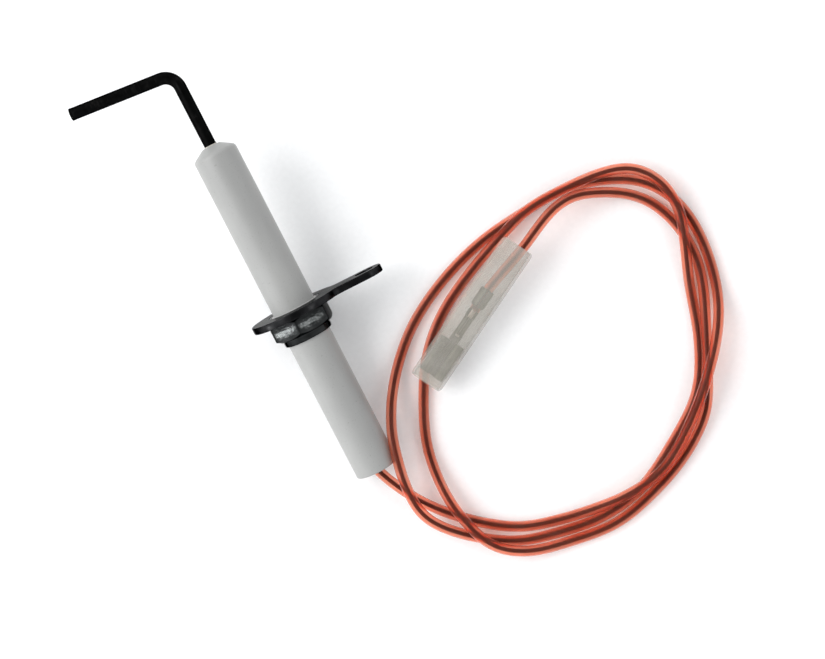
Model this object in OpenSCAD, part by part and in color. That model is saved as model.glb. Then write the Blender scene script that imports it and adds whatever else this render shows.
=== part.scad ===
// Flame sensor probe: a bent electrode in a ceramic insulator, held in a one-bolt plate
// by a hexagonal collar, with a loose lead that ends in a sleeved push-on receptacle.
//
// Millimetres. The origin is on the insulator's axis, in the plate's seating face.
// +Y runs towards the electrode, +X towards the bolt hole and +Z is up. The probe lies
// on a flat surface on the plate's lower edge and the insulator's rear end, so its axis
// rises towards the electrode by rest_tilt.

/* [Insulator] */
// Outer diameter of the ceramic
insulator_d = 10; // [9.8:0.1:10.2]
// Length in front of the plate's seating face
front_len = 39.6; // [36:0.1:46]
// Length behind the plate's seating face
rear_len = 41; // [40:0.5:42]
// Axial length of the cone at the front end
cone_len = 1.8; // [1:0.1:4]
// Diameter of the flat at the front end
nose_d = 4; // [3.6:0.1:6]
// Diameter of the shoulder hidden inside the collar
shoulder_d = 11; // [10.6:0.1:11]
// Length of that shoulder
shoulder_len = 4; // [3:0.1:4.5]
// Diameter of the rod's passage
passage_d = 3.1; // [3:0.05:3.4]
// Diameter of the pocket at the rear end
pocket_d = 5.2; // [5:0.1:6]
// Depth of that pocket
pocket_len = 18; // [17:0.5:19]

/* [Electrode rod] */
// Diameter of the rod
rod_d = 2.75; // [2.5:0.05:2.8]
// Height of the bend's corner above the insulator's front end
rod_shank = 17.4; // [12:0.1:30]
// Length of the arm from the bend's corner to its tip
rod_arm = 24; // [12:0.5:40]
// Angle that the rod turns through at the bend
rod_turn = 85; // [30:1:120]
// Radius of the bend at the rod's centre
rod_bend = 3.5; // [3:0.1:6]

/* [Mounting plate] */
// Thickness of the plate
plate_t = 1.6; // [1.5:0.1:2]
// Radius of the plate round the insulator
plate_r = 10.5; // [10:0.1:11]
// Distance from the insulator's axis to the bolt hole
bolt_x = 17.3; // [15:0.1:22]
// Diameter of the bolt hole, for an M4 bolt
bolt_hole_d = 4.3; // [4.2:0.1:4.8]
// Half the width of the plate's tab, and the radius of its end round the bolt hole
tab_r = 4; // [4:0.1:6]
// Radius of the inside corners between the tab and the disc
web_r = 2.5; // [1:0.5:4]

/* [Collar] */
// Width of the hexagon across its flats
hex_af = 13; // [13:0.5:14]
// Length of the hexagon
hex_len = 4.3; // [4:0.1:6]
// Turn of the hexagon about the insulator's axis
hex_turn = 22; // [0:1:60]
// Diameter of the spigot riveted into the plate
spigot_d = 12.4; // [12.2:0.1:12.8]
// Diameter of the bore round the insulator's shoulder
collar_bore_d = 11.1; // [11.05:0.05:11.3]
// Diameter of the lip pressed in at the rear
lip_d = 11.4; // [11.2:0.1:12]
// Length of that lip
lip_len = 1.5; // [1:0.1:2]

/* [Lead] */
// Diameter over the insulation
lead_d = 2.4; // [2:0.1:2.4]
// Diameter of the stranded conductor
strand_d = 1.1; // [0.8:0.1:1.2]

/* [Receptacle] */
// Width over the rolled sides, for a 4.8 mm tab
socket_w = 6.1; // [5.8:0.1:6.3]
// Height over the rolled sides
socket_h = 2.5; // [2.4:0.1:2.6]
// Thickness of the sheet
sheet_t = 0.4; // [0.3:0.05:0.45]

/* [Terminal sleeve] */
// Length of the sleeve
sleeve_len = 37; // [36:0.5:39]
// Width over the sleeve
sleeve_w = 7.9; // [7.8:0.1:8.2]
// Height over the sleeve
sleeve_h = 5; // [4.9:0.1:5.1]
// Thickness of the sleeve's wall
sleeve_wall = 0.6; // [0.5:0.05:0.6]
// Distance that the sleeve slides back along the lead
sleeve_travel = 8; // [4:1:8]

/* [Hidden] */
$fn = 64;
cut = 1; // overrun of a cutting tool past the face it leaves
slip = 0.02; // gap between pieces that touch all round
lap = 0.05; // overlap between the straight and bent stretches of the rod
bent_d = rod_d + 0.02; // the cold bend is a hair thicker

// How the probe lies
insulator_r = insulator_d / 2;
rest_tilt = atan((plate_r - insulator_r) / (rear_len - plate_t));
surface_z = -(plate_r * cos(rest_tilt) + plate_t * sin(rest_tilt));

// Joint between rod and lead, in the insulator's pocket; distances behind the seating face
rod_end = 30;
barrel_front = 24.5;
barrel_rear = 35;
barrel_d = 4.2;
rod_socket_d = rod_d + slip;
strand_socket_d = strand_d + slip;
lead_start = 35.34;
plug_front = 36;
plug_rear = rear_len - 0.4;
cement_len = 4;

// Collar
hex_corner_d = hex_af / cos(30);
hex_face_d = hex_af - 0.3; // diameter of the flat faces left by the corner chamfers
hex_cone_d = hex_face_d + 2 * hex_len / tan(30); // the chamfers lean 30 degrees
lip_bore_d = insulator_d + 2 * slip;
packing_front = shoulder_len + slip;

// The receptacle's stations, measured back along the sleeve from its mouth
socket_x0 = 2;
socket_x1 = 11;
strand_crimp_x0 = 13;
strand_crimp_x1 = 17.5;
lead_crimp_x0 = 20.5;
lead_crimp_x1 = 25;
strand_x0 = 12.5;
lead_end = 19.5;
floor_z = -1.7; // underside of the receptacle's floor below the lead's axis
neck_w = 2;
slot_w = 5.1;
slot_h = 0.85;
strand_crimp_d = 2.2;
lead_crimp_d = 3.3;
lead_crimp_bore_d = lead_d + 0.1;

// Where the sleeve lies: the middle of its mouth, as [x, y, height above the surface]
sleeve_mouth = [18.4, -28.2, 5.1];
sleeve_heading = 29;
sleeve_rise = 3.5;

// A point in the sleeve, a distance back from its mouth and a distance left of its axis
function terminal_point(d, left = 0) = sleeve_mouth + d * [
    cos(sleeve_rise) * cos(sleeve_heading),
    cos(sleeve_rise) * sin(sleeve_heading),
    sin(sleeve_rise)
] + left * [-sin(sleeve_heading), cos(sleeve_heading), 0];

// The lead's route from the splice to the receptacle, as [x, y, height of its middle
// above the surface]. It makes two and three quarter turns.
lead_route = concat([
    // out of the insulator and round the first turn
    [0, -35, 5.7], [0, -41, 4.9], [2.5, -47, 4], [6.5, -53.5, 2.5], [13, -60.5, 1.2],
    [22, -67, 1.2], [31, -69.8, 1.2], [40, -71.2, 2.1], [48, -71.5, 4], [57.5, -70, 3.7],
    [66, -64.5, 4], [74.5, -56.5, 6.1], [82.2, -47.5, 5.2], [87, -39, 1.6], [89, -28, 1.2],
    [88, -18, 1.2], [83, -10, 1.2], [75, -5.5, 1.2], [66, -3.5, 1.2], [56, -4, 1.2],
    [44.5, -5.5, 1.2], [33.5, -9, 1.2], [23, -14.5, 1.2], [15.5, -21, 1.8],
    // over the insulator's rear corner and round the second turn
    [10, -28, 4.2], [6.5, -35, 7.4], [5, -41, 9], [4, -47, 7.9], [4.5, -55, 4.9],
    [10, -62.5, 1.9], [20, -69.6, 1.2], [30, -72.4, 1.2], [40.5, -73.7, 1.2], [51, -72, 1.2],
    [62, -66, 1.2], [72, -58.5, 1.2], [78, -48, 1.2], [82, -35, 1.4], [84.8, -26.5, 3.8],
    [87, -19, 4], [86, -11.5, 3.8], [81.5, -6, 3.4], [74.5, -4, 3.7], [65.5, -3.5, 3.8],
    [56, -4, 3.8], [47.5, -7, 3.2], [39, -10.5, 1.4], [29, -16, 1.2], [21.5, -23, 1.2],
    // under the sleeve's mouth and round the last turn
    [16, -32, 1.2], [12, -42, 1.5], [11, -53, 3.4], [12.5, -61.5, 4.2], [15.5, -68.3, 4.1],
    [22, -73, 2.6], [31.5, -75.4, 1.2], [42.5, -76.5, 1.2], [52.5, -74.3, 1.2],
    [63, -70, 1.2], [71.5, -63.5, 2.2], [75.5, -56.5, 3.4], [80, -47, 3.2],
    [84.2, -37.5, 2.2], [86, -30.5, 1.2], [85.5, -22.5, 1.2], [82.5, -15, 1.2],
    [78, -10.5, 1.6], [72.8, -7.8, 3.2], [67.2, -6, 5.8]
], [
    // along the right-hand side of the sleeve to the receptacle
    terminal_point(48.5, -1.9), terminal_point(43, -1.35), terminal_point(37, -1.2),
    terminal_point(31, -0.5), terminal_point(25.5), terminal_point(lead_end)
]);

// Places what is drawn along +Z onto the insulator's axis, with the electrode at +Z
module on_axis() {
    rotate([rest_tilt - 90, 0, 0]) children();
}

// Places what is drawn along +X onto the sleeve's axis, with the mouth at X = 0
module at_terminal() {
    translate(sleeve_mouth + [0, 0, surface_z])
        rotate([0, -sleeve_rise, sleeve_heading])
            children();
}

// A tube along Z between two heights
module ring(z0, z1, outer_d, inner_d) {
    difference() {
        translate([0, 0, z0]) cylinder(h = z1 - z0, d = outer_d);
        translate([0, 0, z0 - cut]) cylinder(h = z1 - z0 + 2 * cut, d = inner_d);
    }
}

// A rod along X between two stations
module rod_x(x0, x1, d) {
    translate([x0, 0, 0]) rotate([0, 90, 0]) cylinder(h = x1 - x0, d = d);
}

// A bar along X with a rounded section
module rounded_bar(x0, x1, w, h, r) {
    len = x1 - x0;
    translate([x0, -w / 2 + r, -h / 2]) cube([len, w - 2 * r, h]);
    translate([x0, -w / 2, -h / 2 + r]) cube([len, w, h - 2 * r]);
    for (y = [-1, 1], z = [-1, 1])
        translate([0, y * (w / 2 - r), z * (h / 2 - r)]) rod_x(x0, x1, 2 * r);
}

module electrode_rod() {
    corner_z = front_len + rod_shank;
    bend_cut = rod_bend * tan(rod_turn / 2);
    bend_z = corner_z - bend_cut;
    color("dimgray") on_axis() {
        translate([0, 0, -rod_end]) cylinder(h = rod_end + bend_z + lap, d = rod_d);
        translate([-rod_bend, 0, bend_z])
            rotate([90, 0, 0])
                rotate_extrude(angle = rod_turn)
                    translate([rod_bend, 0]) circle(d = bent_d);
        translate([0, 0, corner_z])
            rotate([0, -rod_turn, 0])
                translate([0, 0, bend_cut - lap])
                    cylinder(h = rod_arm - bend_cut + lap, d = rod_d);
    }
}

module insulator() {
    color("gainsboro") on_axis() difference() {
        union() {
            translate([0, 0, -rear_len])
                cylinder(h = rear_len + front_len - cone_len, d = insulator_d);
            translate([0, 0, front_len - cone_len])
                cylinder(h = cone_len, d1 = insulator_d, d2 = nose_d);
            translate([0, 0, -shoulder_len]) cylinder(h = shoulder_len, d = shoulder_d);
        }
        translate([0, 0, -rear_len - cut])
            cylinder(h = rear_len + front_len + 2 * cut, d = passage_d);
        translate([0, 0, -rear_len - cut]) cylinder(h = pocket_len + cut, d = pocket_d);
    }
}

// Cement that fills the passage round the rod at the front end
module tip_cement() {
    color("ivory") on_axis()
        ring(front_len - cement_len, front_len, passage_d - slip, rod_d + slip);
}

// The web that rounds one inside corner of the plate. The corner's arc touches both the
// disc and the side of the tab.
module corner_web() {
    web_y = tab_r + web_r;
    web_x = sqrt(pow(plate_r + web_r, 2) - web_y * web_y);
    linear_extrude(plate_t) difference() {
        polygon([[0, 0], [web_x, 0], [web_x, web_y]]);
        translate([web_x, web_y]) circle(r = web_r);
    }
}

// A disc round the insulator, and a straight-sided tab whose end is round the bolt hole
module mounting_plate() {
    color("slategray") on_axis() translate([0, 0, -plate_t]) difference() {
        union() {
            cylinder(h = plate_t, r = plate_r);
            translate([0, -tab_r, 0]) cube([bolt_x, 2 * tab_r, plate_t]);
            translate([bolt_x, 0, 0]) cylinder(h = plate_t, r = tab_r);
            corner_web();
            mirror([0, 1, 0]) corner_web();
        }
        translate([0, 0, -cut]) cylinder(h = plate_t + 2 * cut, d = spigot_d + slip);
        translate([bolt_x, 0, -cut]) cylinder(h = plate_t + 2 * cut, d = bolt_hole_d);
    }
}

// Spigot, hexagon and lip in one turned piece
module hex_collar() {
    hex_front = -plate_t;
    hex_rear = hex_front - hex_len;
    color("gray") on_axis() difference() {
        union() {
            translate([0, 0, hex_front - cut]) cylinder(h = plate_t + cut, d = spigot_d);
            intersection() {
                translate([0, 0, hex_rear]) rotate([0, 0, hex_turn])
                    cylinder(h = hex_len, d = hex_corner_d, $fn = 6);
                translate([0, 0, hex_rear])
                    cylinder(h = hex_len, d1 = hex_face_d, d2 = hex_cone_d);
                translate([0, 0, hex_rear])
                    cylinder(h = hex_len, d1 = hex_cone_d, d2 = hex_face_d);
            }
            translate([0, 0, hex_rear - lip_len]) cylinder(h = lip_len + cut, d = lip_d);
        }
        translate([0, 0, hex_rear]) cylinder(h = hex_len + plate_t + cut, d = collar_bore_d);
        translate([0, 0, hex_rear - lip_len - cut])
            cylinder(h = lip_len + 2 * cut, d = lip_bore_d);
    }
}

// Packing that the lip holds against the insulator's shoulder
module packing_ring() {
    color("darkgray") on_axis()
        ring(-plate_t - hex_len + slip, -packing_front,
            collar_bore_d - slip, insulator_d + slip);
}

// Crimped tube that joins the rod to the lead's strands
module splice_barrel() {
    color("goldenrod") on_axis() {
        ring(-rod_end, -barrel_front, barrel_d, rod_socket_d);
        ring(-barrel_rear, -rod_end, barrel_d, strand_socket_d);
    }
}

module splice_strands() {
    color("darkorange") on_axis()
        translate([0, 0, -lead_start + slip])
            cylinder(h = lead_start - rod_end - 2 * slip, d = strand_d);
}

// Sealing compound round the lead in the mouth of the insulator's pocket
module potting_plug() {
    color("linen") on_axis()
        ring(-plug_rear, -plug_front, pocket_d - slip, lead_d + 2 * slip);
}

// One ring of an eight-sided tube at each point of a route
LEAD_SIDES = 8;
function unit(v) = v / norm(v);
function heading(route, i) =
    unit(route[min(i + 1, len(route) - 1)] - route[max(i - 1, 0)]);
function ring_points(route, i, r) =
    let (t = heading(route, i), side = unit(cross(t, [0, 0, 1])), up = cross(side, t))
    [for (k = [0:LEAD_SIDES - 1])
        let (a = 360 * (k + 0.5) / LEAD_SIDES)
        route[i] + r * (cos(a) * side + sin(a) * up)];
function tube_faces(rings, n) = concat(
    [[for (k = [0:n - 1]) k]],
    [for (i = [0:rings - 2], k = [0:n - 1])
        let (a = i * n + k, b = i * n + (k + 1) % n)
        [a, a + n, b + n, b]],
    [[for (k = [n - 1:-1:0]) (rings - 1) * n + k]]
);

module lead() {
    color("salmon") translate([0, 0, surface_z]) polyhedron(
        points = [for (i = [0:len(lead_route) - 1])
            each ring_points(lead_route, i, lead_d / 2)],
        faces = tube_faces(len(lead_route), LEAD_SIDES)
    );
}

module terminal_strands() {
    color("darkorange") at_terminal() rod_x(strand_x0, lead_end - slip, strand_d);
}

// One side of the socket: a tube with its inner wall cut away for the tab
module socket_roll(side) {
    y = side * (socket_w - socket_h) / 2;
    z = floor_z + socket_h / 2;
    difference() {
        translate([0, y, z]) rod_x(socket_x0, socket_x1, socket_h);
        translate([-cut, y, z])
            rod_x(socket_x0, socket_x1 + 2 * cut, socket_h - 2 * sheet_t);
        translate([0, -slot_w / 2, floor_z + sheet_t]) cube([socket_x1 + cut, slot_w, slot_h]);
    }
}

module receptacle() {
    color("darkslategray") at_terminal() {
        // floor of the socket and the strip that runs back under both crimps
        translate([socket_x0, -socket_w / 2 + socket_h / 2, floor_z])
            cube([socket_x1 - socket_x0, socket_w - socket_h, sheet_t]);
        translate([socket_x1 - sheet_t, -neck_w / 2, floor_z])
            cube([lead_crimp_x1 - socket_x1, neck_w, sheet_t]);
        socket_roll(-1);
        socket_roll(1);
        difference() {
            union() {
                rod_x(strand_crimp_x0, strand_crimp_x1, strand_crimp_d);
                translate([strand_crimp_x0, -neck_w / 2, floor_z])
                    cube([strand_crimp_x1 - strand_crimp_x0, neck_w, -floor_z]);
            }
            rod_x(strand_x0, strand_crimp_x1 + cut, strand_d + 2 * slip);
        }
        difference() {
            rod_x(lead_crimp_x0, lead_crimp_x1, lead_crimp_d);
            rod_x(lead_crimp_x0 - cut, lead_crimp_x1 + cut, lead_crimp_bore_d);
        }
    }
}

module terminal_sleeve() {
    inner_w = sleeve_w - 2 * sleeve_wall;
    inner_h = sleeve_h - 2 * sleeve_wall;
    color("whitesmoke", 0.6) at_terminal() difference() {
        rounded_bar(0, sleeve_len, sleeve_w, sleeve_h, 1.6);
        rounded_bar(-cut, sleeve_len + cut, inner_w, inner_h, 1);
    }
}

electrode_rod();
insulator();
tip_cement();
mounting_plate();
hex_collar();
packing_ring();
splice_barrel();
splice_strands();
potting_plug();
lead();
terminal_strands();
receptacle();
terminal_sleeve();
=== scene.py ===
"""The looks of a flame sensor probe: bent electrode, ceramic insulator, one-bolt plate with a
hexagonal collar, and a loose lead that ends in a sleeved push-on receptacle.

Shapes are drawn in millimetres, in the local frame of the axis they stand on: along +Z for the
probe, and along +X from the sleeve's mouth for the terminal. They are placed in metres.
"""

import math

import bpy
import numpy as np
from mathutils import Matrix, Vector

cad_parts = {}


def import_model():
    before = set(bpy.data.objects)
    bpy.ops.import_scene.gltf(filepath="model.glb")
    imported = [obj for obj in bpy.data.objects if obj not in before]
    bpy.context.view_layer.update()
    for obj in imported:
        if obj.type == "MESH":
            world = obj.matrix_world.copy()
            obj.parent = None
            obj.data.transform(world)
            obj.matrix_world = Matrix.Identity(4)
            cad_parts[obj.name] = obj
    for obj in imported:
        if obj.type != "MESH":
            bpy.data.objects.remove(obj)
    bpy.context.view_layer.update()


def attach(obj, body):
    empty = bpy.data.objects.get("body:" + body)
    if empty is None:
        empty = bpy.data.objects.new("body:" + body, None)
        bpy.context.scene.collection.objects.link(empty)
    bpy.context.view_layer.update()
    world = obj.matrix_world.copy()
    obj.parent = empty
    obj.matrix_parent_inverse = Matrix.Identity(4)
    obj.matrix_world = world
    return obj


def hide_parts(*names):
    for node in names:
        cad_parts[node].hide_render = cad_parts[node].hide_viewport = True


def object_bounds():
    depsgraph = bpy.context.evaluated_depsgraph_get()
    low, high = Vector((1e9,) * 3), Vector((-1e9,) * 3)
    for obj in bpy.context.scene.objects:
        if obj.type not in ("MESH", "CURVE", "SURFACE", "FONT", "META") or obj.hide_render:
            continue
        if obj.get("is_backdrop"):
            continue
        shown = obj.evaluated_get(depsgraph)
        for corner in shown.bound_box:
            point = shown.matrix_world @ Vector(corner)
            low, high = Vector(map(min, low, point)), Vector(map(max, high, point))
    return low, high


MM = 0.001
TAU = 2 * math.pi
GAP = 0.01  # keeps two pieces that fill one another from sharing a surface

# Driving dimensions, the same as the CAD part's
INSULATOR_R = 5.0
FRONT_LEN = 39.6
REAR_LEN = 41.0
CONE_LEN = 1.8
NOSE_R = 2.0
SHOULDER_R = 5.5
SHOULDER_LEN = 4.0
PASSAGE_R = 1.55
POCKET_R = 2.6
POCKET_LEN = 18.0

ROD_R = 1.375
ROD_END = 30.0
ROD_SHANK = 17.4
ROD_ARM = 24.0
ROD_TURN = math.radians(85)
ROD_BEND = 3.5

PLATE_T = 1.6
PLATE_R = 10.5
BOLT_X = 17.3
BOLT_HOLE_R = 2.15
TAB_R = 4.0
WEB_R = 2.5

HEX_AF = 13.0
HEX_LEN = 4.3
HEX_TURN = math.radians(22)
SPIGOT_R = 6.2
COLLAR_BORE_R = 5.55
LIP_R = 5.7
LIP_LEN = 1.5
LIP_BORE_R = 5.02

CEMENT_LEN = 4.0
PLUG_LEN = 5.0  # how far the potting plug reaches into the insulator
PLUG_RECESS = 0.4  # how far its rim lies inside the insulator's rear end

LEAD_R = 1.2
STRAND_R = 0.55
CORE_SHARE = 0.88  # share of the conductor's width that shows through the insulation

SLEEVE_LEN = 37.0
SLEEVE_W = 7.9
SLEEVE_H = 5.0
SLEEVE_WALL = 0.6
SLEEVE_MOUTH = (18.4, -28.2, 5.1)
SLEEVE_HEADING = math.radians(29)
SLEEVE_RISE = math.radians(3.5)

# Where things stand along the terminal, as distances back from the sleeve's mouth
SOCKET_SPAN = (2.0, 11.0)
STRAND_CRIMP_SPAN = (13.0, 17.5)
LEAD_CRIMP_SPAN = (20.5, 25.0)
STRANDS_START = 12.5
LEAD_END = 19.5
RECEPTACLE_FLOOR_Z = -1.7  # the receptacle's underside below the lead's middle

REST_TILT = math.atan((PLATE_R - INSULATOR_R) / (REAR_LEN - PLATE_T))
SURFACE_Z = -(PLATE_R * math.cos(REST_TILT) + PLATE_T * math.sin(REST_TILT))

ON_AXIS = Matrix.Rotation(REST_TILT - math.pi / 2, 4, "X")
AT_TERMINAL = (
    Matrix.Translation(Vector(SLEEVE_MOUTH) + Vector((0, 0, SURFACE_Z)))
    @ Matrix.Rotation(SLEEVE_HEADING, 4, "Z")
    @ Matrix.Rotation(-SLEEVE_RISE, 4, "Y")
)

# The camera looks straight down. Its place is in millimetres, in the frame.
CAMERA_AT = (21.14, -16.34, 369.38)
CAMERA_TURN = math.radians(-26.88)
CAMERA_LENS = 72.83

# The studio. Azimuths are in degrees from +X towards +Y.
KEY_AZIMUTH = 152  # the large soft light on the left
CARD_AZIMUTH = 186  # a small low light that marks the collar's side facet
GLINT_AZIMUTH = -19  # a small high light that marks the collar's top facet
WALLS = (1.0, 1.6)  # brightness of the walls at their darkest and brightest
CEILING = 0.3  # brightness of the ceiling as a share of the walls'
WALL_WHITE = (0.97, 0.985, 1.0, 1)

# The lead's route from the splice to the receptacle: [x, y, height of its middle above the
# surface]. TERMINAL_ROUTE follows it.
LEAD_ROUTE = [
    # out of the insulator and round the first turn
    (0, -35, 5.7), (0, -41, 4.9), (2.5, -47, 4), (6.5, -53.5, 2.5), (13, -60.5, 1.2),
    (22, -67, 1.2), (31, -69.8, 1.2), (40, -71.2, 2.1), (48, -71.5, 4), (57.5, -70, 3.7),
    (66, -64.5, 4), (74.5, -56.5, 6.1), (82.2, -47.5, 5.2), (87, -39, 1.6), (89, -28, 1.2),
    (88, -18, 1.2), (83, -10, 1.2), (75, -5.5, 1.2), (66, -3.5, 1.2), (56, -4, 1.2),
    (44.5, -5.5, 1.2), (33.5, -9, 1.2), (23, -14.5, 1.2), (15.5, -21, 1.8),
    # over the insulator's rear corner and round the second turn
    (10, -28, 4.2), (6.5, -35, 7.4), (5, -41, 9), (4, -47, 7.9), (4.5, -55, 4.9),
    (10, -62.5, 1.9), (20, -69.6, 1.2), (30, -72.4, 1.2), (40.5, -73.7, 1.2), (51, -72, 1.2),
    (62, -66, 1.2), (72, -58.5, 1.2), (78, -48, 1.2), (82, -35, 1.4), (84.8, -26.5, 3.8),
    (87, -19, 4), (86, -11.5, 3.8), (81.5, -6, 3.4), (74.5, -4, 3.7), (65.5, -3.5, 3.8),
    (56, -4, 3.8), (47.5, -7, 3.2), (39, -10.5, 1.4), (29, -16, 1.2), (21.5, -23, 1.2),
    # under the sleeve's mouth and round the last turn
    (16, -32, 1.2), (12, -42, 1.5), (11, -53, 3.4), (12.5, -61.5, 4.2), (15.5, -68.3, 4.1),
    (22, -73, 2.6), (31.5, -75.4, 1.2), (42.5, -76.5, 1.2), (52.5, -74.3, 1.2),
    (63, -70, 1.2), (71.5, -63.5, 2.2), (75.5, -56.5, 3.4), (80, -47, 3.2),
    (84.2, -37.5, 2.2), (86, -30.5, 1.2), (85.5, -22.5, 1.2), (82.5, -15, 1.2),
    (78, -10.5, 1.6), (72.8, -7.8, 3.2), (67.2, -6, 5.8),
]
# Its last points, as [distance back from the sleeve's mouth, distance left of its axis]
TERMINAL_ROUTE = [(48.5, -1.9), (43, -1.35), (37, -1.2), (31, -0.5), (25.5, 0), (LEAD_END, 0)]


# ---------------------------------------------------------------- mesh helpers


def piece(name, verts, faces, material, body="probe", place=None, sharp=35, uv=None):
    """Makes a smooth-shaded mesh from millimetre points and lets it ride on a CAD body."""
    mesh = bpy.data.meshes.new(name)
    mesh.from_pydata([Vector(v) * MM for v in verts], [], faces)
    if uv is not None:
        layer = mesh.uv_layers.new(name="along")
        for loop in mesh.loops:
            layer.data[loop.index].uv = uv[loop.vertex_index]
    mesh.validate()
    if place is not None:
        matrix = place.copy()
        matrix.translation = matrix.translation * MM
        mesh.transform(matrix)
    mesh.shade_smooth()
    mesh.set_sharp_from_angle(angle=math.radians(sharp))
    mesh.materials.append(material)
    obj = bpy.data.objects.new(name, mesh)
    bpy.context.scene.collection.objects.link(obj)
    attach(obj, body)
    return obj


def ring_faces(rings, sides, closed=False, caps=False):
    """Faces between consecutive rings of points, each ring a closed loop of `sides` points."""
    faces = []
    for i in range(rings if closed else rings - 1):
        a, b = i * sides, (i + 1) % rings * sides
        for k in range(sides):
            n = (k + 1) % sides
            faces.append((a + k, a + n, b + n, b + k))
    if caps:
        faces.append(tuple(range(sides))[::-1])
        faces.append(tuple((rings - 1) * sides + k for k in range(sides)))
    return faces


def filleted(corners):
    """A closed profile with each corner (z, r, fillet radius) turned into a short curve."""
    points = []
    n = len(corners)
    for i, (z, r, radius) in enumerate(corners):
        here = np.array((z, r), float)
        before = np.array(corners[i - 1][:2], float)
        after = np.array(corners[(i + 1) % n][:2], float)
        to_before, to_after = before - here, after - here
        len_before, len_after = np.linalg.norm(to_before), np.linalg.norm(to_after)
        reach = min(radius, 0.45 * len_before, 0.45 * len_after)
        if reach <= 0:
            points.append(here)
            continue
        start = here + to_before / len_before * reach
        end = here + to_after / len_after * reach
        for t in np.linspace(0, 1, 5):
            points.append((1 - t) ** 2 * start + 2 * t * (1 - t) * here + t * t * end)
    return points


def lathe(name, corners, material, sides):
    """A solid of revolution about local Z, from a closed profile of (z, r, fillet) corners."""
    profile = filleted(corners)
    verts = []
    for z, r in profile:
        for k in range(sides):
            a = TAU * k / sides
            verts.append((r * math.cos(a), r * math.sin(a), z))
    faces = ring_faces(len(profile), sides, closed=True)
    return piece(name, verts, faces, material, place=ON_AXIS)


def frames_along(points):
    """Side and up at each point of a line, turning as little as it can."""
    tangents = np.gradient(points, axis=0)
    tangents /= np.linalg.norm(tangents, axis=1)[:, None]
    side = np.cross(tangents[0], (0, 0, 1.0))
    if np.linalg.norm(side) < 1e-3:
        side = np.array((0, -1.0, 0))
    sides = []
    for t in tangents:
        side = side - t * (side @ t)
        side = side / np.linalg.norm(side)
        sides.append(side)
    sides = np.array(sides)
    return sides, np.cross(sides, tangents)


def distances_along(line):
    """How far along a line each of its points lies."""
    gaps = np.linalg.norm(np.diff(line, axis=0), axis=1)
    return np.concatenate(([0], np.cumsum(gaps)))


def rings_round(line, radii, sides):
    """A ring of points round each point of a line. Radii is one radius or one for each."""
    side, up = frames_along(line)
    return [
        centre + r * (math.cos(TAU * k / sides) * s + math.sin(TAU * k / sides) * u)
        for centre, r, s, u in zip(line, np.broadcast_to(radii, len(line)), side, up)
        for k in range(sides)
    ]


def tube(name, line, radii, material, sides, place=None, sharp=60):
    """A round tube along a line. Its UV runs round it in turns and along it in millimetres."""
    verts = rings_round(line, radii, sides)
    uv = [(k / sides, d) for d in distances_along(line) for k in range(sides)]
    faces = ring_faces(len(line), sides, caps=True)
    return piece(name, verts, faces, material, place=place, uv=uv, sharp=sharp)


# ---------------------------------------------------------------- material helpers


class Paint:
    """A Principled material with short names for the nodes that its detail is made of."""

    def __init__(self, name, **values):
        self.material = bpy.data.materials.new(name)
        self.material.use_nodes = True
        self.tree = self.material.node_tree
        self.shader = self.tree.nodes["Principled BSDF"]
        self.place = self.tree.nodes.new("ShaderNodeTexCoord")
        for socket, value in values.items():
            self.shader.inputs[socket.replace("_", " ")].default_value = value

    def node(self, kind, **values):
        made = self.tree.nodes.new(kind)
        for key, value in values.items():
            setattr(made, key, value)
        return made

    def link(self, source, target):
        self.tree.links.new(source, target)

    def stretched(self, scale, coordinate="Object", turn=(0, 0, 0)):
        """Object or UV coordinates, turned and then scaled by (x, y, z)."""
        turned = self.node("ShaderNodeMapping", vector_type="TEXTURE")
        turned.inputs["Rotation"].default_value = turn
        self.link(self.place.outputs[coordinate], turned.inputs["Vector"])
        mapping = self.node("ShaderNodeMapping")
        mapping.inputs["Scale"].default_value = scale
        self.link(turned.outputs["Vector"], mapping.inputs["Vector"])
        return mapping.outputs["Vector"]

    def noise(self, vector, detail, roughness=0.55):
        made = self.node("ShaderNodeTexNoise")
        made.inputs["Scale"].default_value = 1.0
        made.inputs["Detail"].default_value = detail
        made.inputs["Roughness"].default_value = roughness
        self.link(vector, made.inputs["Vector"])
        return made.outputs["Fac"]

    def ramp(self, factor, *stops):
        """A colour ramp through (position, colour) stops; a colour may be one grey number."""
        made = self.node("ShaderNodeValToRGB")
        elements = made.color_ramp.elements
        while len(elements) < len(stops):
            elements.new(0.5)
        for element, (position, colour) in zip(elements, stops):
            if isinstance(colour, (int, float)):
                colour = (colour,) * 3
            element.position = position
            element.color = (*colour, 1)
        self.link(factor, made.inputs["Fac"])
        return made.outputs["Color"]

    def mix(self, factor, first, second, blend="MIX"):
        made = self.node("ShaderNodeMix", data_type="RGBA", blend_type=blend)
        if isinstance(factor, (int, float)):
            made.inputs["Factor"].default_value = factor
        else:
            self.link(factor, made.inputs["Factor"])
        self.link(first, made.inputs["A"])
        self.link(second, made.inputs["B"])
        return made.outputs["Result"]

    def colour(self, source):
        self.link(source, self.shader.inputs["Base Color"])

    def roughness(self, source, low, high):
        made = self.node("ShaderNodeMapRange")
        made.inputs["To Min"].default_value = low
        made.inputs["To Max"].default_value = high
        self.link(source, made.inputs["Value"])
        self.link(made.outputs["Result"], self.shader.inputs["Roughness"])

    def bump(self, height, depth_mm):
        """Adds a bump of this depth on top of those already made."""
        made = self.node("ShaderNodeBump")
        made.inputs["Strength"].default_value = 1.0
        made.inputs["Distance"].default_value = depth_mm * MM
        self.link(height, made.inputs["Height"])
        normal = self.shader.inputs["Normal"]
        if normal.is_linked:
            self.link(normal.links[0].from_socket, made.inputs["Normal"])
        self.link(made.outputs["Normal"], normal)


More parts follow.
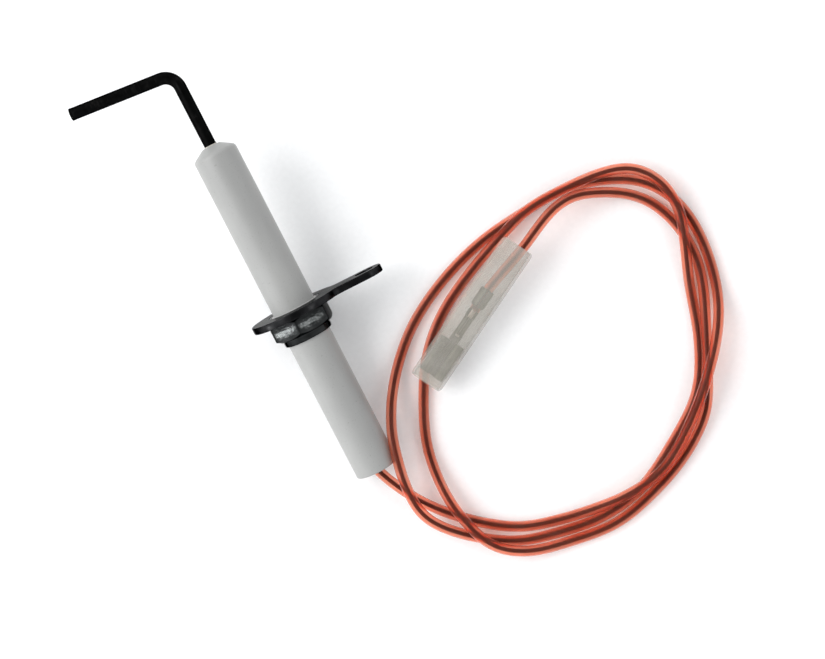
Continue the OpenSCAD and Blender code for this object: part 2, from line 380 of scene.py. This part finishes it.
AXIS_TURN = (REST_TILT - math.pi / 2, 0, 0)
TERMINAL_TURN = (0, -SLEEVE_RISE, SLEEVE_HEADING)


def ceramic():
    """Satin white ceramic: faint cloudiness, fine pits and the drag lines of its extrusion."""
    p = Paint("ceramic", Roughness=0.42, Specular_IOR_Level=0.5)
    clouds = p.noise(p.stretched((90, 90, 40), turn=AXIS_TURN), detail=3)
    specks = p.noise(p.stretched((2600, 2600, 2600)), detail=2)
    lines = p.noise(p.stretched((900, 900, 25), turn=AXIS_TURN), detail=3)
    tone = p.ramp(clouds, (0.3, (0.285, 0.285, 0.278)), (0.7, (0.34, 0.34, 0.33)))
    dust = p.ramp(specks, (0.27, (0.6, 0.59, 0.57)), (0.34, (1, 1, 1)))
    p.colour(p.mix(0.5, tone, dust, "MULTIPLY"))
    p.roughness(lines, 0.34, 0.52)
    p.bump(lines, 0.012)
    p.bump(specks, 0.006)
    return p.material


def cement():
    """Sandy refractory cement."""
    p = Paint("cement", Roughness=0.9)
    grain = p.noise(p.stretched((3500, 3500, 3500)), detail=4)
    p.colour(p.ramp(grain, (0.3, (0.3, 0.28, 0.25)), (0.7, (0.6, 0.57, 0.5))))
    p.bump(grain, 0.04)
    return p.material


def rod_steel():
    """Heat-resisting wire, black with scale, with drawing lines and a few brighter rubs."""
    p = Paint("rod_steel", Metallic=1.0, Specular_Tint=(0.4, 0.4, 0.4, 1))
    drawn = p.noise(p.stretched((2600, 2600, 90), turn=AXIS_TURN), detail=3)
    scale = p.noise(p.stretched((420, 420, 420)), detail=6, roughness=0.65)
    black = p.ramp(scale, (0.3, 0.002), (0.6, 0.005), (0.75, (0.02, 0.019, 0.018)))
    rubs = p.ramp(drawn, (0.55, 0.0), (0.75, 1.0))
    bright = p.ramp(scale, (0.0, 0.016), (1.0, 0.008))
    p.colour(p.mix(rubs, black, bright))
    p.roughness(scale, 0.38, 0.62)
    p.bump(drawn, 0.01)
    p.bump(scale, 0.02)
    return p.material


def worked_metal(
    name, dark, light, line_scale, turn=AXIS_TURN, shine=(0.16, 0.32), dents=0.03
):
    """Dull metal with tool lines, stains and small dents, and little sheen at grazing angles.
    Shine is the roughness at its smoothest and roughest, and dents their depth in
    millimetres."""
    p = Paint(name, Metallic=1.0, Specular_Tint=(0.3, 0.3, 0.3, 1))
    lines = p.noise(p.stretched(line_scale, turn=turn), detail=4)
    stains = p.noise(p.stretched((260, 260, 260)), detail=5, roughness=0.6)
    base = p.ramp(stains, (0.3, dark), (0.7, light))
    worn = p.ramp(lines, (0.35, 0.75), (0.65, 1.0))
    p.colour(p.mix(1.0, base, worn, "MULTIPLY"))
    p.roughness(stains, *shine)
    p.bump(lines, 0.012)
    p.bump(stains, dents)
    return p.material


def insulation():
    """Salmon-red silicone rubber that lets its conductor show as a darker core. It has a dusty
    bloom and the marks of the extruder."""
    p = Paint(
        "lead_insulation", IOR=1.05, Transmission_Weight=0.95, Coat_Weight=0.1, Coat_Roughness=0.3
    )
    die_lines = p.noise(p.stretched((14, 0.05, 1), coordinate="UV"), detail=3)
    bloom = p.noise(p.stretched((170, 170, 170)), detail=5, roughness=0.6)
    grain = p.noise(p.stretched((3200, 3200, 3200)), detail=2)
    red = p.ramp(
        bloom, (0.3, (0.95, 0.28, 0.17)), (0.55, (0.97, 0.35, 0.23)), (0.75, (0.98, 0.43, 0.31))
    )
    worn = p.ramp(die_lines, (0.3, 0.84), (0.7, 1.0))
    p.colour(p.mix(1.0, red, worn, "MULTIPLY"))
    p.roughness(bloom, 0.36, 0.55)
    p.bump(die_lines, 0.02)
    p.bump(grain, 0.008)
    return p.material


def conductor():
    """The stranded conductor seen through the insulation, with its lay as a twist. Its near-black
    tone is painted shade for the inside of the lead, and its lay's grooves are painted darker as
    painted shade between the strands.
    """
    p = Paint("conductor", Specular_IOR_Level=0.25)
    lay = p.node("ShaderNodeTexWave", wave_type="BANDS", bands_direction="DIAGONAL")
    lay.inputs["Scale"].default_value = 1.0
    p.link(p.stretched((2.2, 0.35, 0), coordinate="UV"), lay.inputs["Vector"])
    tarnish = p.noise(p.stretched((900, 900, 900)), detail=3)
    # painted shade: near black, far darker than the tinned strands; the tarnish noise only varies
    # it at random
    base = p.ramp(tarnish, (0.3, (0.03, 0.004, 0.004)), (0.7, (0.075, 0.01, 0.009)))
    # painted shade in the grooves between the strands of the lay
    painted_groove_shade = p.ramp(lay.outputs["Fac"], (0.2, 0.4), (0.8, 1.0))
    p.colour(p.mix(0.6, base, painted_groove_shade, "MULTIPLY"))
    p.roughness(tarnish, 0.4, 0.6)
    p.bump(lay.outputs["Fac"], 0.06)
    return p.material


def milky_plastic():
    """Translucent push-on sleeve: milky, softly blurred, with draw lines along it."""
    p = Paint("sleeve_plastic", IOR=1.45, Alpha=0.33)
    lines = p.noise(p.stretched((60, 1500, 1500), turn=TERMINAL_TURN), detail=3)
    clouds = p.noise(p.stretched((220, 220, 220)), detail=4)
    p.colour(p.ramp(clouds, (0.3, (0.43, 0.405, 0.35)), (0.7, (0.51, 0.48, 0.43))))
    p.roughness(clouds, 0.26, 0.4)
    p.bump(lines, 0.012)
    p.bump(clouds, 0.03)
    return p.material


def plate_steel():
    """Near-black sheet, with rolling lines across the plate."""
    return worked_metal(
        "plate_steel",
        dark=(0.01, 0.01, 0.011),
        light=(0.036, 0.036, 0.037),
        line_scale=(2000, 80, 2000),
    )


def collar_steel():
    """Near-black turned steel, smooth and bright enough for its facets to glint."""
    return worked_metal(
        "collar_steel",
        dark=(0.01, 0.011, 0.011),
        light=(0.04, 0.042, 0.042),
        line_scale=(60, 60, 2600),
        shine=(0.07, 0.15),
        dents=0.08,
    )


def splice_brass():
    """Drawn brass tube, for the splice barrel."""
    return worked_metal(
        "splice_brass",
        dark=(0.4, 0.3, 0.14),
        light=(0.68, 0.52, 0.26),
        line_scale=(300, 300, 1500),
    )


def receptacle_metal():
    """Tinned sheet with rolling lines and an olive cast, painted near black as painted shade for
    the inside of the sleeve.
    """
    return worked_metal(
        "receptacle_metal",
        # painted shade: these near-black tones stand for the shade inside the sleeve, not the
        # tin's own colour
        dark=(0.01, 0.012, 0.007),
        light=(0.16, 0.163, 0.12),
        line_scale=(80, 2200, 2200),
        turn=TERMINAL_TURN,
        shine=(0.2, 0.38),
    )


def tinned_copper():
    """Fine tinned copper strands, with copper showing where the tin is thin."""
    p = Paint("strands", Metallic=1.0)
    tarnish = p.noise(p.stretched((1500, 1500, 1500)), detail=3)
    p.colour(p.ramp(tarnish, (0.3, (0.5, 0.4, 0.32)), (0.7, (0.68, 0.64, 0.6))))
    p.roughness(tarnish, 0.22, 0.4)
    p.bump(tarnish, 0.01)
    return p.material


def fibre():
    """Woven packing of mineral fibre."""
    p = Paint("packing", Roughness=0.95)
    weave = p.noise(p.stretched((1800, 1800, 500), turn=AXIS_TURN), detail=4)
    p.colour(p.ramp(weave, (0.3, (0.3, 0.29, 0.27)), (0.7, (0.6, 0.58, 0.54))))
    p.bump(weave, 0.08)
    return p.material


def sealant():
    """Off-white silicone sealant, slightly lumpy."""
    p = Paint("potting", Specular_IOR_Level=0.4)
    lumps = p.noise(p.stretched((700, 700, 700)), detail=4)
    p.colour(p.ramp(lumps, (0.3, (0.42, 0.4, 0.38)), (0.7, (0.58, 0.56, 0.53))))
    p.roughness(lumps, 0.5, 0.75)
    p.bump(lumps, 0.06)
    return p.material


def floor_white():
    """Plain pale card, with a trace of tooth."""
    p = Paint("floor", Roughness=0.75, Specular_IOR_Level=0.2)
    tooth = p.noise(p.stretched((900, 900, 900)), detail=3)
    p.colour(p.ramp(tooth, (0.3, 0.9), (0.7, 0.93)))
    p.bump(tooth, 0.01)
    return p.material


# ---------------------------------------------------------------- the lead


def catmull_rom(points):
    """A smooth line through all the points."""
    p = np.asarray(points, float)
    p = np.vstack((2 * p[0] - p[1], p, 2 * p[-1] - p[-2]))
    per_span = 24
    t = np.linspace(0, 1, per_span, endpoint=False)[:, None]
    line = []
    for a, b, c, d in zip(p, p[1:], p[2:], p[3:]):
        line.append(
            0.5
            * (
                2 * b
                + (c - a) * t
                + (2 * a - 5 * b + 4 * c - d) * t**2
                + (3 * b - a - 3 * c + d) * t**3
            )
        )
    return np.vstack([*line, p[-2]])


def evenly(line, step):
    """The same line with its points a step apart."""
    along = distances_along(line)
    wanted = np.linspace(0, along[-1], round(along[-1] / step) + 1)
    return np.stack([np.interp(wanted, along, line[:, k]) for k in range(3)], axis=1)


def lead_line():
    """The lead's centreline in millimetres: the route, smoothed as a springy wire would be,
    with the points at both ends held where they are."""
    terminal = [AT_TERMINAL @ Vector((d, left, 0)) for d, left in TERMINAL_ROUTE]
    route = [(x, y, z + SURFACE_Z) for x, y, z in LEAD_ROUTE]
    line = evenly(catmull_rom(route + [tuple(p) for p in terminal]), step=0.6)
    held, passes = 12, 24
    for _ in range(passes):
        smoothed = (line[:-2] + 2 * line[1:-1] + line[2:]) / 4
        line[held:-held] = smoothed[held - 1 : 1 - held]
    line[:, 2] = np.maximum(line[:, 2], SURFACE_Z + LEAD_R)
    return line


def make_lead(material):
    """The lead: a tube of insulation with the conductor inside it."""
    line = lead_line()
    obj = tube("lead_wire", line, LEAD_R, material, sides=20)
    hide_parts("lead")
    core = tube("lead_core", line, STRAND_R * CORE_SHARE, conductor(), sides=12)
    return obj, core, line


# ---------------------------------------------------------------- the probe


def make_rod(material):
    """The electrode: one drawn wire with a swept bend and a sheared, slightly swaged tip."""
    corner_z = FRONT_LEN + ROD_SHANK
    bend_cut = ROD_BEND * math.tan(ROD_TURN / 2)
    bend_z = corner_z - bend_cut
    line = [(0, 0, z) for z in np.linspace(-ROD_END, bend_z, 60)]
    for a in np.linspace(0, ROD_TURN, 25)[1:]:
        line.append((-ROD_BEND * (1 - math.cos(a)), 0, bend_z + ROD_BEND * math.sin(a)))
    for d in np.linspace(bend_cut, ROD_ARM, 60)[1:]:
        line.append((-d * math.sin(ROD_TURN), 0, corner_z + d * math.cos(ROD_TURN)))
    line = np.array(line)

    # the tip's own points, as (distance back from its end, change of radius)
    chamfer, swage = 0.16, 0.02
    tip = [(0.9, 0), (0.5, swage), (chamfer, swage), (0.05, -0.05), (0, -chamfer)]
    end = line[-1]
    back = (line[-2] - end) / np.linalg.norm(line[-2] - end)
    shaft = line[np.linalg.norm(line - end, axis=1) > 1.0]
    radii = [ROD_R] * len(shaft) + [ROD_R + change for _, change in tip]
    line = np.vstack((shaft, [end + back * d for d, _ in tip]))
    obj = tube("electrode", line, radii, material, sides=40, place=ON_AXIS, sharp=30)
    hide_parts("electrode_rod")


def make_insulator(material):
    """The ceramic: a turned tube with a cone at the front, a shoulder that the collar hides,
    a passage for the rod and a wider pocket at the rear."""
    pocket_z = -REAR_LEN + POCKET_LEN
    obj = lathe(
        "ceramic_tube",
        [
            (FRONT_LEN, PASSAGE_R, 0.12),
            (FRONT_LEN, NOSE_R, 0.25),
            (FRONT_LEN - CONE_LEN, INSULATOR_R, 0.7),
            (FRONT_LEN / 2, INSULATOR_R, 0),
            (0, INSULATOR_R, 0.05),
            (0, SHOULDER_R, 0.1),
            (-SHOULDER_LEN, SHOULDER_R, 0.1),
            (-SHOULDER_LEN, INSULATOR_R, 0.05),
            (-REAR_LEN / 2, INSULATOR_R, 0),
            (-REAR_LEN, INSULATOR_R, 0.45),
            (-REAR_LEN, POCKET_R, 0.25),
            (pocket_z, POCKET_R, 0.2),
            (pocket_z, PASSAGE_R, 0.1),
        ],
        material,
        sides=128,
    )
    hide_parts("insulator")


def make_cement(material):
    """The cement ring, drawn up round the rod in a small bead."""
    inner, outer = ROD_R + GAP, PASSAGE_R - GAP
    obj = lathe(
        "cement_bead",
        [
            (FRONT_LEN - CEMENT_LEN, inner, 0),
            (FRONT_LEN - CEMENT_LEN, outer, 0),
            (FRONT_LEN - 0.12, outer, 0.05),
            (FRONT_LEN + 0.16, ROD_R + 0.1, 0.1),
            (FRONT_LEN + 0.2, inner, 0),
        ],
        material,
        sides=64,
    )
    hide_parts("tip_cement")


def arc(centre, radius, start, end, steps):
    """Points on an arc between two angles."""
    return [
        (centre[0] + radius * math.cos(a), centre[1] + radius * math.sin(a))
        for a in np.linspace(start, end, steps)
    ]


def stamped(name, outlines, thickness, edge, material):
    """A flat stamping behind the seating face: the first outline less the holes after it,
    with its edges rounded to a radius."""
    curve = bpy.data.curves.new(name, "CURVE")
    curve.dimensions = "2D"
    curve.fill_mode = "BOTH"
    for outline in outlines:
        spline = curve.splines.new("POLY")
        spline.points.add(len(outline) - 1)
        for point, (x, y) in zip(spline.points, outline):
            point.co = (x, y, 0, 1)
        spline.use_cyclic_u = True
    curve.extrude = thickness / 2 - edge
    curve.bevel_depth = edge
    curve.bevel_resolution = 3
    curve.offset = -edge
    source = bpy.data.objects.new(name + "_outline", curve)
    bpy.context.scene.collection.objects.link(source)
    shown = source.evaluated_get(bpy.context.evaluated_depsgraph_get())
    flat = shown.to_mesh()
    verts = [tuple(v.co) for v in flat.vertices]
    faces = [tuple(f.vertices) for f in flat.polygons]
    shown.to_mesh_clear()
    bpy.data.objects.remove(source)
    return piece(
        name,
        verts,
        faces,
        material,
        place=ON_AXIS @ Matrix.Translation((0, 0, -thickness / 2)),
        sharp=50,
    )


def make_plate(material):
    """The plate: a disc and a straight tab, with rounded corners where they meet."""
    web_y = TAB_R + WEB_R
    web_x = math.sqrt((PLATE_R + WEB_R) ** 2 - web_y**2)
    meet = math.atan2(web_y, web_x)
    quarter = TAU / 4
    outline = arc((0, 0), PLATE_R, meet, TAU - meet, 96)
    outline += arc((web_x, -web_y), WEB_R, math.pi - meet, quarter, 12)[1:]
    outline += arc((BOLT_X, 0), TAB_R, -quarter, quarter, 48)
    outline += arc((web_x, web_y), WEB_R, -quarter, meet - math.pi, 12)[:-1]
    spigot_hole = arc((0, 0), SPIGOT_R + 0.03, 0, TAU * 95 / 96, 96)
    bolt_hole = arc((BOLT_X, 0), BOLT_HOLE_R, 0, TAU * 47 / 48, 48)
    obj = stamped("plate", [outline, spigot_hole, bolt_hole], PLATE_T, 0.18, material)
    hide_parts("mounting_plate")


def hexagon(corner_radius):
    """Angle and radius of the points of a hexagon with rounded corners."""
    half_angle = TAU / 12  # between a corner and the middle of a side
    centre_r = (HEX_AF / 2 - corner_radius) / math.cos(half_angle)

    def on_corner(corner, b):
        """A point on a corner's arc, at an angle from the arc's middle."""
        a = HEX_TURN + corner * TAU / 6
        centre = centre_r * np.array((math.cos(a), math.sin(a)))
        return centre + corner_radius * np.array((math.cos(a + b), math.sin(a + b)))

    points = []
    for corner in range(6):
        points += [on_corner(corner, b) for b in np.linspace(-half_angle, half_angle, 6)]
        start, end = points[-1], on_corner(corner + 1, -half_angle)
        points += [start + t * (end - start) for t in np.linspace(0, 1, 14)[1:-1]]
    points = np.array(points)
    return np.arctan2(points[:, 1], points[:, 0]), np.hypot(points[:, 0], points[:, 1])


def make_collar(material):
    """Spigot, chamfered hexagon and turned lip. Each ring's points stand at the hexagon's
    angles, so that the chamfers meet its sides in true arcs."""
    angles, hex_r = hexagon(corner_radius=0.35)
    face_r = (HEX_AF - 0.3) / 2
    rim_r = np.minimum(face_r, hex_r)
    bevel = 0.08
    chamfer = np.maximum(hex_r - face_r, 0) * math.tan(math.radians(30))
    front, rear = -PLATE_T, -PLATE_T - HEX_LEN
    end = rear - LIP_LEN
    rings = [
        # (z, radius) up the bore and down the spigot
        (rear, COLLAR_BORE_R),
        (-0.15, COLLAR_BORE_R),
        (-0.02, COLLAR_BORE_R + 0.1),
        (-0.02, SPIGOT_R - 0.12),
        (-0.12, SPIGOT_R),
        (front, SPIGOT_R),
        # over the hexagon
        (front, face_r - bevel),
        (front - 0.02 - chamfer * 0.1, rim_r),
        (front - chamfer - bevel, hex_r - 0.02),
        (front - chamfer - 2.5 * bevel, hex_r),
        (rear + chamfer + 2.5 * bevel, hex_r),
        (rear + chamfer + bevel, hex_r - 0.02),
        (rear + 0.02 + chamfer * 0.1, rim_r),
        (rear, face_r - bevel),
        # round the lip and into its bore
        (rear, LIP_R + 0.15),
        (rear - 0.06, LIP_R + 0.03),
        (rear - 0.2, LIP_R),
        (end + 0.45, LIP_R),
        (end + 0.18, LIP_R - 0.07),
        (end + 0.04, LIP_R - 0.25),
        (end, LIP_R - 0.42),
        (end, LIP_BORE_R + 0.06),
        (end + 0.06, LIP_BORE_R),
        (rear, LIP_BORE_R),
    ]
    verts = [
        (r * math.cos(a), r * math.sin(a), z)
        for ring in rings
        for z, r, a in np.broadcast(*ring, angles)
    ]
    faces = ring_faces(len(rings), len(angles), closed=True)
    obj = piece("collar", verts, faces, material, place=ON_AXIS, sharp=24)
    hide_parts("hex_collar")


def make_potting(material):
    """The sealing plug, with a meniscus up the lead and down from the pocket's rim."""
    front, rear = -REAR_LEN + PLUG_LEN, -REAR_LEN + PLUG_RECESS
    obj = lathe(
        "sealing_plug",
        [
            (front, LEAD_R + 0.02, 0),
            (front, POCKET_R - GAP, 0),
            (rear, POCKET_R - GAP, 0.1),
            (rear + 0.35, POCKET_R - 0.45, 0.3),
            (rear + 0.3, LEAD_R + 0.5, 0.3),
            (rear - 0.1, LEAD_R + 0.02, 0.05),
        ],
        material,
        sides=64,
    )
    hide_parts("potting_plug")


# ---------------------------------------------------------------- the terminal


def bent_strip(span, section, gauge, steps=10, flare=0.0):
    """Sheet of a given gauge bent to a section, (y, z) points along its middle, and drawn
    along a span of x. The section may open out by a share, flare, at the span's end."""
    section = np.asarray(section, float)
    tangent = np.gradient(section, axis=0)
    tangent /= np.linalg.norm(tangent, axis=1)[:, None]
    normal = np.stack((-tangent[:, 1], tangent[:, 0]), axis=1)
    loop = np.vstack(
        (section + normal * gauge / 2, (section - normal * gauge / 2)[::-1])
    )
    verts = []
    for t in np.linspace(0, 1, steps):
        x = span[0] + t * (span[1] - span[0])
        verts += [(x, y, z) for y, z in loop * (1 + flare * t * t)]
    faces = ring_faces(steps, len(loop))
    faces += strip_end(len(section), first=0, flip=False)
    faces += strip_end(len(section), first=(steps - 1) * len(loop), flip=True)
    return verts, faces


def strip_end(n, first, flip):
    """The quads that close one end of a bent strip with n points to its section."""
    last = first + 2 * n - 1
    quads = [(first + k, first + k + 1, last - 1 - k, last - k) for k in range(n - 1)]
    return quads if flip else [q[::-1] for q in quads]


def merged(name, parts, material, place, **kwargs):
    """One piece from several (verts, faces) parts."""
    verts, faces = [], []
    for part_verts, part_faces in parts:
        base = len(verts)
        verts += list(part_verts)
        faces += [tuple(base + i for i in face) for face in part_faces]
    return piece(name, verts, faces, material, place=place, **kwargs)


def make_receptacle(material):
    """The push-on receptacle: a socket with rolled sides, a wire crimp and an insulation
    crimp, on one strip of sheet. Each section is a line of (y, z) points."""
    gauge = 0.38
    floor = RECEPTACLE_FLOOR_Z + gauge / 2
    lap = 0.1  # overlap between one stretch of the strip and the next
    neck_half = 1.0

    def socket(flat_half, curl):
        """A flat floor whose sides roll up and over, towards the middle."""
        side = [
            (flat_half + curl * math.sin(a), floor + curl - curl * math.cos(a))
            for a in np.linspace(0, math.radians(295), 26)
        ]
        flat = [(y, floor) for y in np.linspace(-flat_half, flat_half, 9)[1:-1]]
        return [(-y, z) for y, z in side[::-1]] + flat + side

    def cradle(height, corner=0.35):
        """A U-shaped trough."""
        top, bottom = floor + height, floor + corner
        side = [(-neck_half, z) for z in np.linspace(top, bottom, 9)]
        turn = [
            (-neck_half + corner - corner * math.cos(a), bottom - corner * math.sin(a))
            for a in np.linspace(0, TAU / 4, 6)[1:]
        ]
        left = side + turn
        return left + [(-y, z) for y, z in left[::-1]]

    def wrapped(radius, gap, dip=0.0):
        """Wings that close over a conductor and dip together at the top."""
        line = []
        for a in np.linspace(math.pi - gap, 0, 24):
            r = radius - dip * max(0, -math.cos(a)) ** 6
            line.append((-r * math.sin(a), -r * math.cos(a)))
        return line + [(-y, z) for y, z in line[::-1][1:]]

    socket_section = socket(flat_half=1.8, curl=1.25 - gauge / 2)
    strand_wings = wrapped(radius=0.9, gap=0.12, dip=0.28)
    lead_wings = wrapped(radius=1.44, gap=0.1)
    neck_span = (SOCKET_SPAN[1] - lap, STRAND_CRIMP_SPAN[0] + lap)
    web_span = (STRAND_CRIMP_SPAN[1] - lap, LEAD_CRIMP_SPAN[0] + lap)
    parts = [
        bent_strip(SOCKET_SPAN, socket_section, gauge, steps=16),
        bent_strip(neck_span, cradle(height=0.9), gauge),
        bent_strip(STRAND_CRIMP_SPAN, strand_wings, gauge, steps=12),
        bent_strip(web_span, cradle(height=0.45), gauge),
        bent_strip(LEAD_CRIMP_SPAN, lead_wings, gauge, steps=12, flare=0.03),
    ]
    obj = merged("push_on_receptacle", parts, material, AT_TERMINAL, sharp=40)
    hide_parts("receptacle")
    return obj


def make_strands(material):
    """Six strands twisted round a seventh, from the wire crimp to the lead's cut end."""
    strand_r = STRAND_R * 0.34
    ring_r = STRAND_R * 0.64
    twist_len = 9
    sides = 10
    xs = np.linspace(STRANDS_START, LEAD_END - 0.02, 40)
    lines = []
    for k in range(6):
        a = TAU * (k / 6 + xs / twist_len)
        lines.append(np.stack((xs, ring_r * np.cos(a), ring_r * np.sin(a)), axis=1))
    lines.append(np.stack((xs, 0 * xs, 0 * xs), axis=1))
    faces = ring_faces(len(xs), sides, caps=True)
    parts = [(rings_round(line, strand_r, sides), faces) for line in lines]
    obj = merged("crimped_strands", parts, material, AT_TERMINAL)
    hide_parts("terminal_strands")
    return obj


def rounded_rectangle(width, height, radius):
    """(y, z) points of a rectangle with rounded corners."""
    points = []
    for quarter, (sy, sz) in enumerate(((1, 1), (-1, 1), (-1, -1), (1, -1))):
        centre = (sy * (width / 2 - radius), sz * (height / 2 - radius))
        points += arc(centre, radius, quarter * TAU / 4, (quarter + 1) * TAU / 4, 8)
    return points


def make_sleeve(material):
    """The soft translucent sleeve: a drawn flat tube with rounded cut ends. Its bore stays
    wide enough to pass over the socket."""
    inner_w, inner_h = SLEEVE_W - 2 * SLEEVE_WALL, SLEEVE_H - 2 * SLEEVE_WALL
    outer_radius, inner_radius = 1.6, 1.0
    bevel = 0.2
    corner = 1.2  # how far from an end its corners begin to round

    def section(x, width, height, radius, narrowing, inset=0):
        """The tube's section at x, narrowed by up to `narrowing` a side at the ends."""
        share = max(0, 1 - min(x, SLEEVE_LEN - x) / corner)
        width -= 2 * narrowing * (1 - math.sqrt(1 - share**2)) + 2 * inset
        outline = rounded_rectangle(width, height - 2 * inset, radius - inset)
        return [(x, y, z) for y, z in outline]

    near_end = [0, 0.03, 0.1, 0.2, 0.35, 0.55, 0.8, 1.1, 1.5]
    between = list(np.linspace(3, SLEEVE_LEN - 3, 16))
    stations = near_end + between + [SLEEVE_LEN - x for x in near_end[::-1]]
    rings = []
    for x in stations:
        inset = bevel if x in (0, SLEEVE_LEN) else 0
        rings.append(section(x, SLEEVE_W, SLEEVE_H, outer_radius, 0.55, inset))
    for x in stations[::-1]:
        rings.append(section(x, inner_w, inner_h, inner_radius, 0.15))
    verts = [point for ring in rings for point in ring]
    faces = ring_faces(len(rings), len(rings[0]), closed=True)
    obj = piece("sleeve", verts, faces, material, body="sleeve", place=AT_TERMINAL)
    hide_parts("terminal_sleeve")
    return obj


# ---------------------------------------------------------------- stage


def make_camera():
    """A camera that looks straight down, turned about its own axis."""
    data = bpy.data.cameras.new("camera")
    data.lens = CAMERA_LENS
    data.sensor_width = 36
    data.sensor_fit = "HORIZONTAL"
    data.clip_start = 0.01
    camera = bpy.data.objects.new("camera", data)
    camera.location = Vector(CAMERA_AT) * MM
    camera.rotation_euler = (0, 0, CAMERA_TURN)
    bpy.context.scene.collection.objects.link(camera)
    bpy.context.scene.camera = camera


def make_floor():
    """The surface that the object lies on."""
    half = 1.5
    corners = [(-half, -half, 0), (half, -half, 0), (half, half, 0), (-half, half, 0)]
    mesh = bpy.data.meshes.new("floor")
    mesh.from_pydata(corners, [], [(0, 1, 2, 3)])
    mesh.materials.append(floor_white())
    floor = bpy.data.objects.new("floor", mesh)
    floor.location.z = SURFACE_Z * MM
    bpy.context.scene.collection.objects.link(floor)
    floor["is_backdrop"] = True


def soft_light(name, azimuth, elevation, distance, size, watts):
    """A square soft box that looks at the middle of the object."""
    data = bpy.data.lights.new(name, "AREA")
    data.shape = "SQUARE"
    data.size = size
    data.energy = watts
    light = bpy.data.objects.new(name, data)
    a, e = math.radians(azimuth), math.radians(elevation)
    towards = Vector((math.cos(a) * math.cos(e), math.sin(a) * math.cos(e), math.sin(e)))
    low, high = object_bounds()
    light.location = (low + high) / 2 + towards * distance
    light.rotation_euler = (-towards).to_track_quat("-Z", "Y").to_euler()
    bpy.context.scene.collection.objects.link(light)


def studio_walls():
    """White walls that are brightest on the left, under a dark ceiling."""
    world = bpy.data.worlds.new("studio")
    world.use_nodes = True
    tree = world.node_tree
    background = tree.nodes["Background"]
    background.inputs["Color"].default_value = WALL_WHITE
    direction = tree.nodes.new("ShaderNodeTexCoord").outputs["Generated"]

    def shade(towards, start, stop, low, high):
        """A brightness that goes from low to high as the view turns towards a direction,
        while the cosine of the angle between them goes from start to stop."""
        along = tree.nodes.new("ShaderNodeVectorMath")
        along.operation = "DOT_PRODUCT"
        along.inputs[1].default_value = towards
        tree.links.new(direction, along.inputs[0])
        made = tree.nodes.new("ShaderNodeMapRange")
        made.interpolation_type = "SMOOTHSTEP"
        made.inputs["From Min"].default_value = start
        made.inputs["From Max"].default_value = stop
        made.inputs["To Min"].default_value = low
        made.inputs["To Max"].default_value = high
        tree.links.new(along.outputs["Value"], made.inputs["Value"])
        return made.outputs["Result"]

    azimuth = math.radians(KEY_AZIMUTH)
    left = shade((math.cos(azimuth), math.sin(azimuth), 0), -0.9, 0.9, *WALLS)
    ceiling = shade((0, 0, 1), 0.72, 0.97, 1.0, CEILING)
    product = tree.nodes.new("ShaderNodeMath")
    product.operation = "MULTIPLY"
    tree.links.new(left, product.inputs[0])
    tree.links.new(ceiling, product.inputs[1])
    tree.links.new(product.outputs["Value"], background.inputs["Strength"])
    bpy.context.scene.world = world


def make_lights():
    """The studio's walls and its three soft lights."""
    studio_walls()
    bpy.context.scene.view_settings.view_transform = "Standard"
    soft_light("key", KEY_AZIMUTH, elevation=42, distance=0.6, size=0.35, watts=1.8)
    soft_light("card", CARD_AZIMUTH, elevation=9, distance=0.44, size=0.025, watts=0.1)
    soft_light("glint", GLINT_AZIMUTH, elevation=51.3, distance=0.38, size=0.016, watts=0.04)


# ---------------------------------------------------------------- build


def main():
    """Builds every piece round the frame, then the studio."""
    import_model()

    make_camera()
    lead, core, line = make_lead(insulation())
    strands = tinned_copper()
    strand_piece = make_strands(strands)
    receptacle = make_receptacle(receptacle_metal())
    sleeve = make_sleeve(milky_plastic())

    make_rod(rod_steel())
    make_insulator(ceramic())
    make_cement(cement())
    make_plate(plate_steel())
    make_collar(collar_steel())
    make_potting(sealant())
    hidden = {
        "packing_ring": fibre(),
        "splice_barrel": splice_brass(),
        "splice_strands": strands,
    }
    for node, material in hidden.items():
        for slot in bpy.data.objects[node].material_slots:
            slot.material = material

    make_floor()
    make_lights()


main()
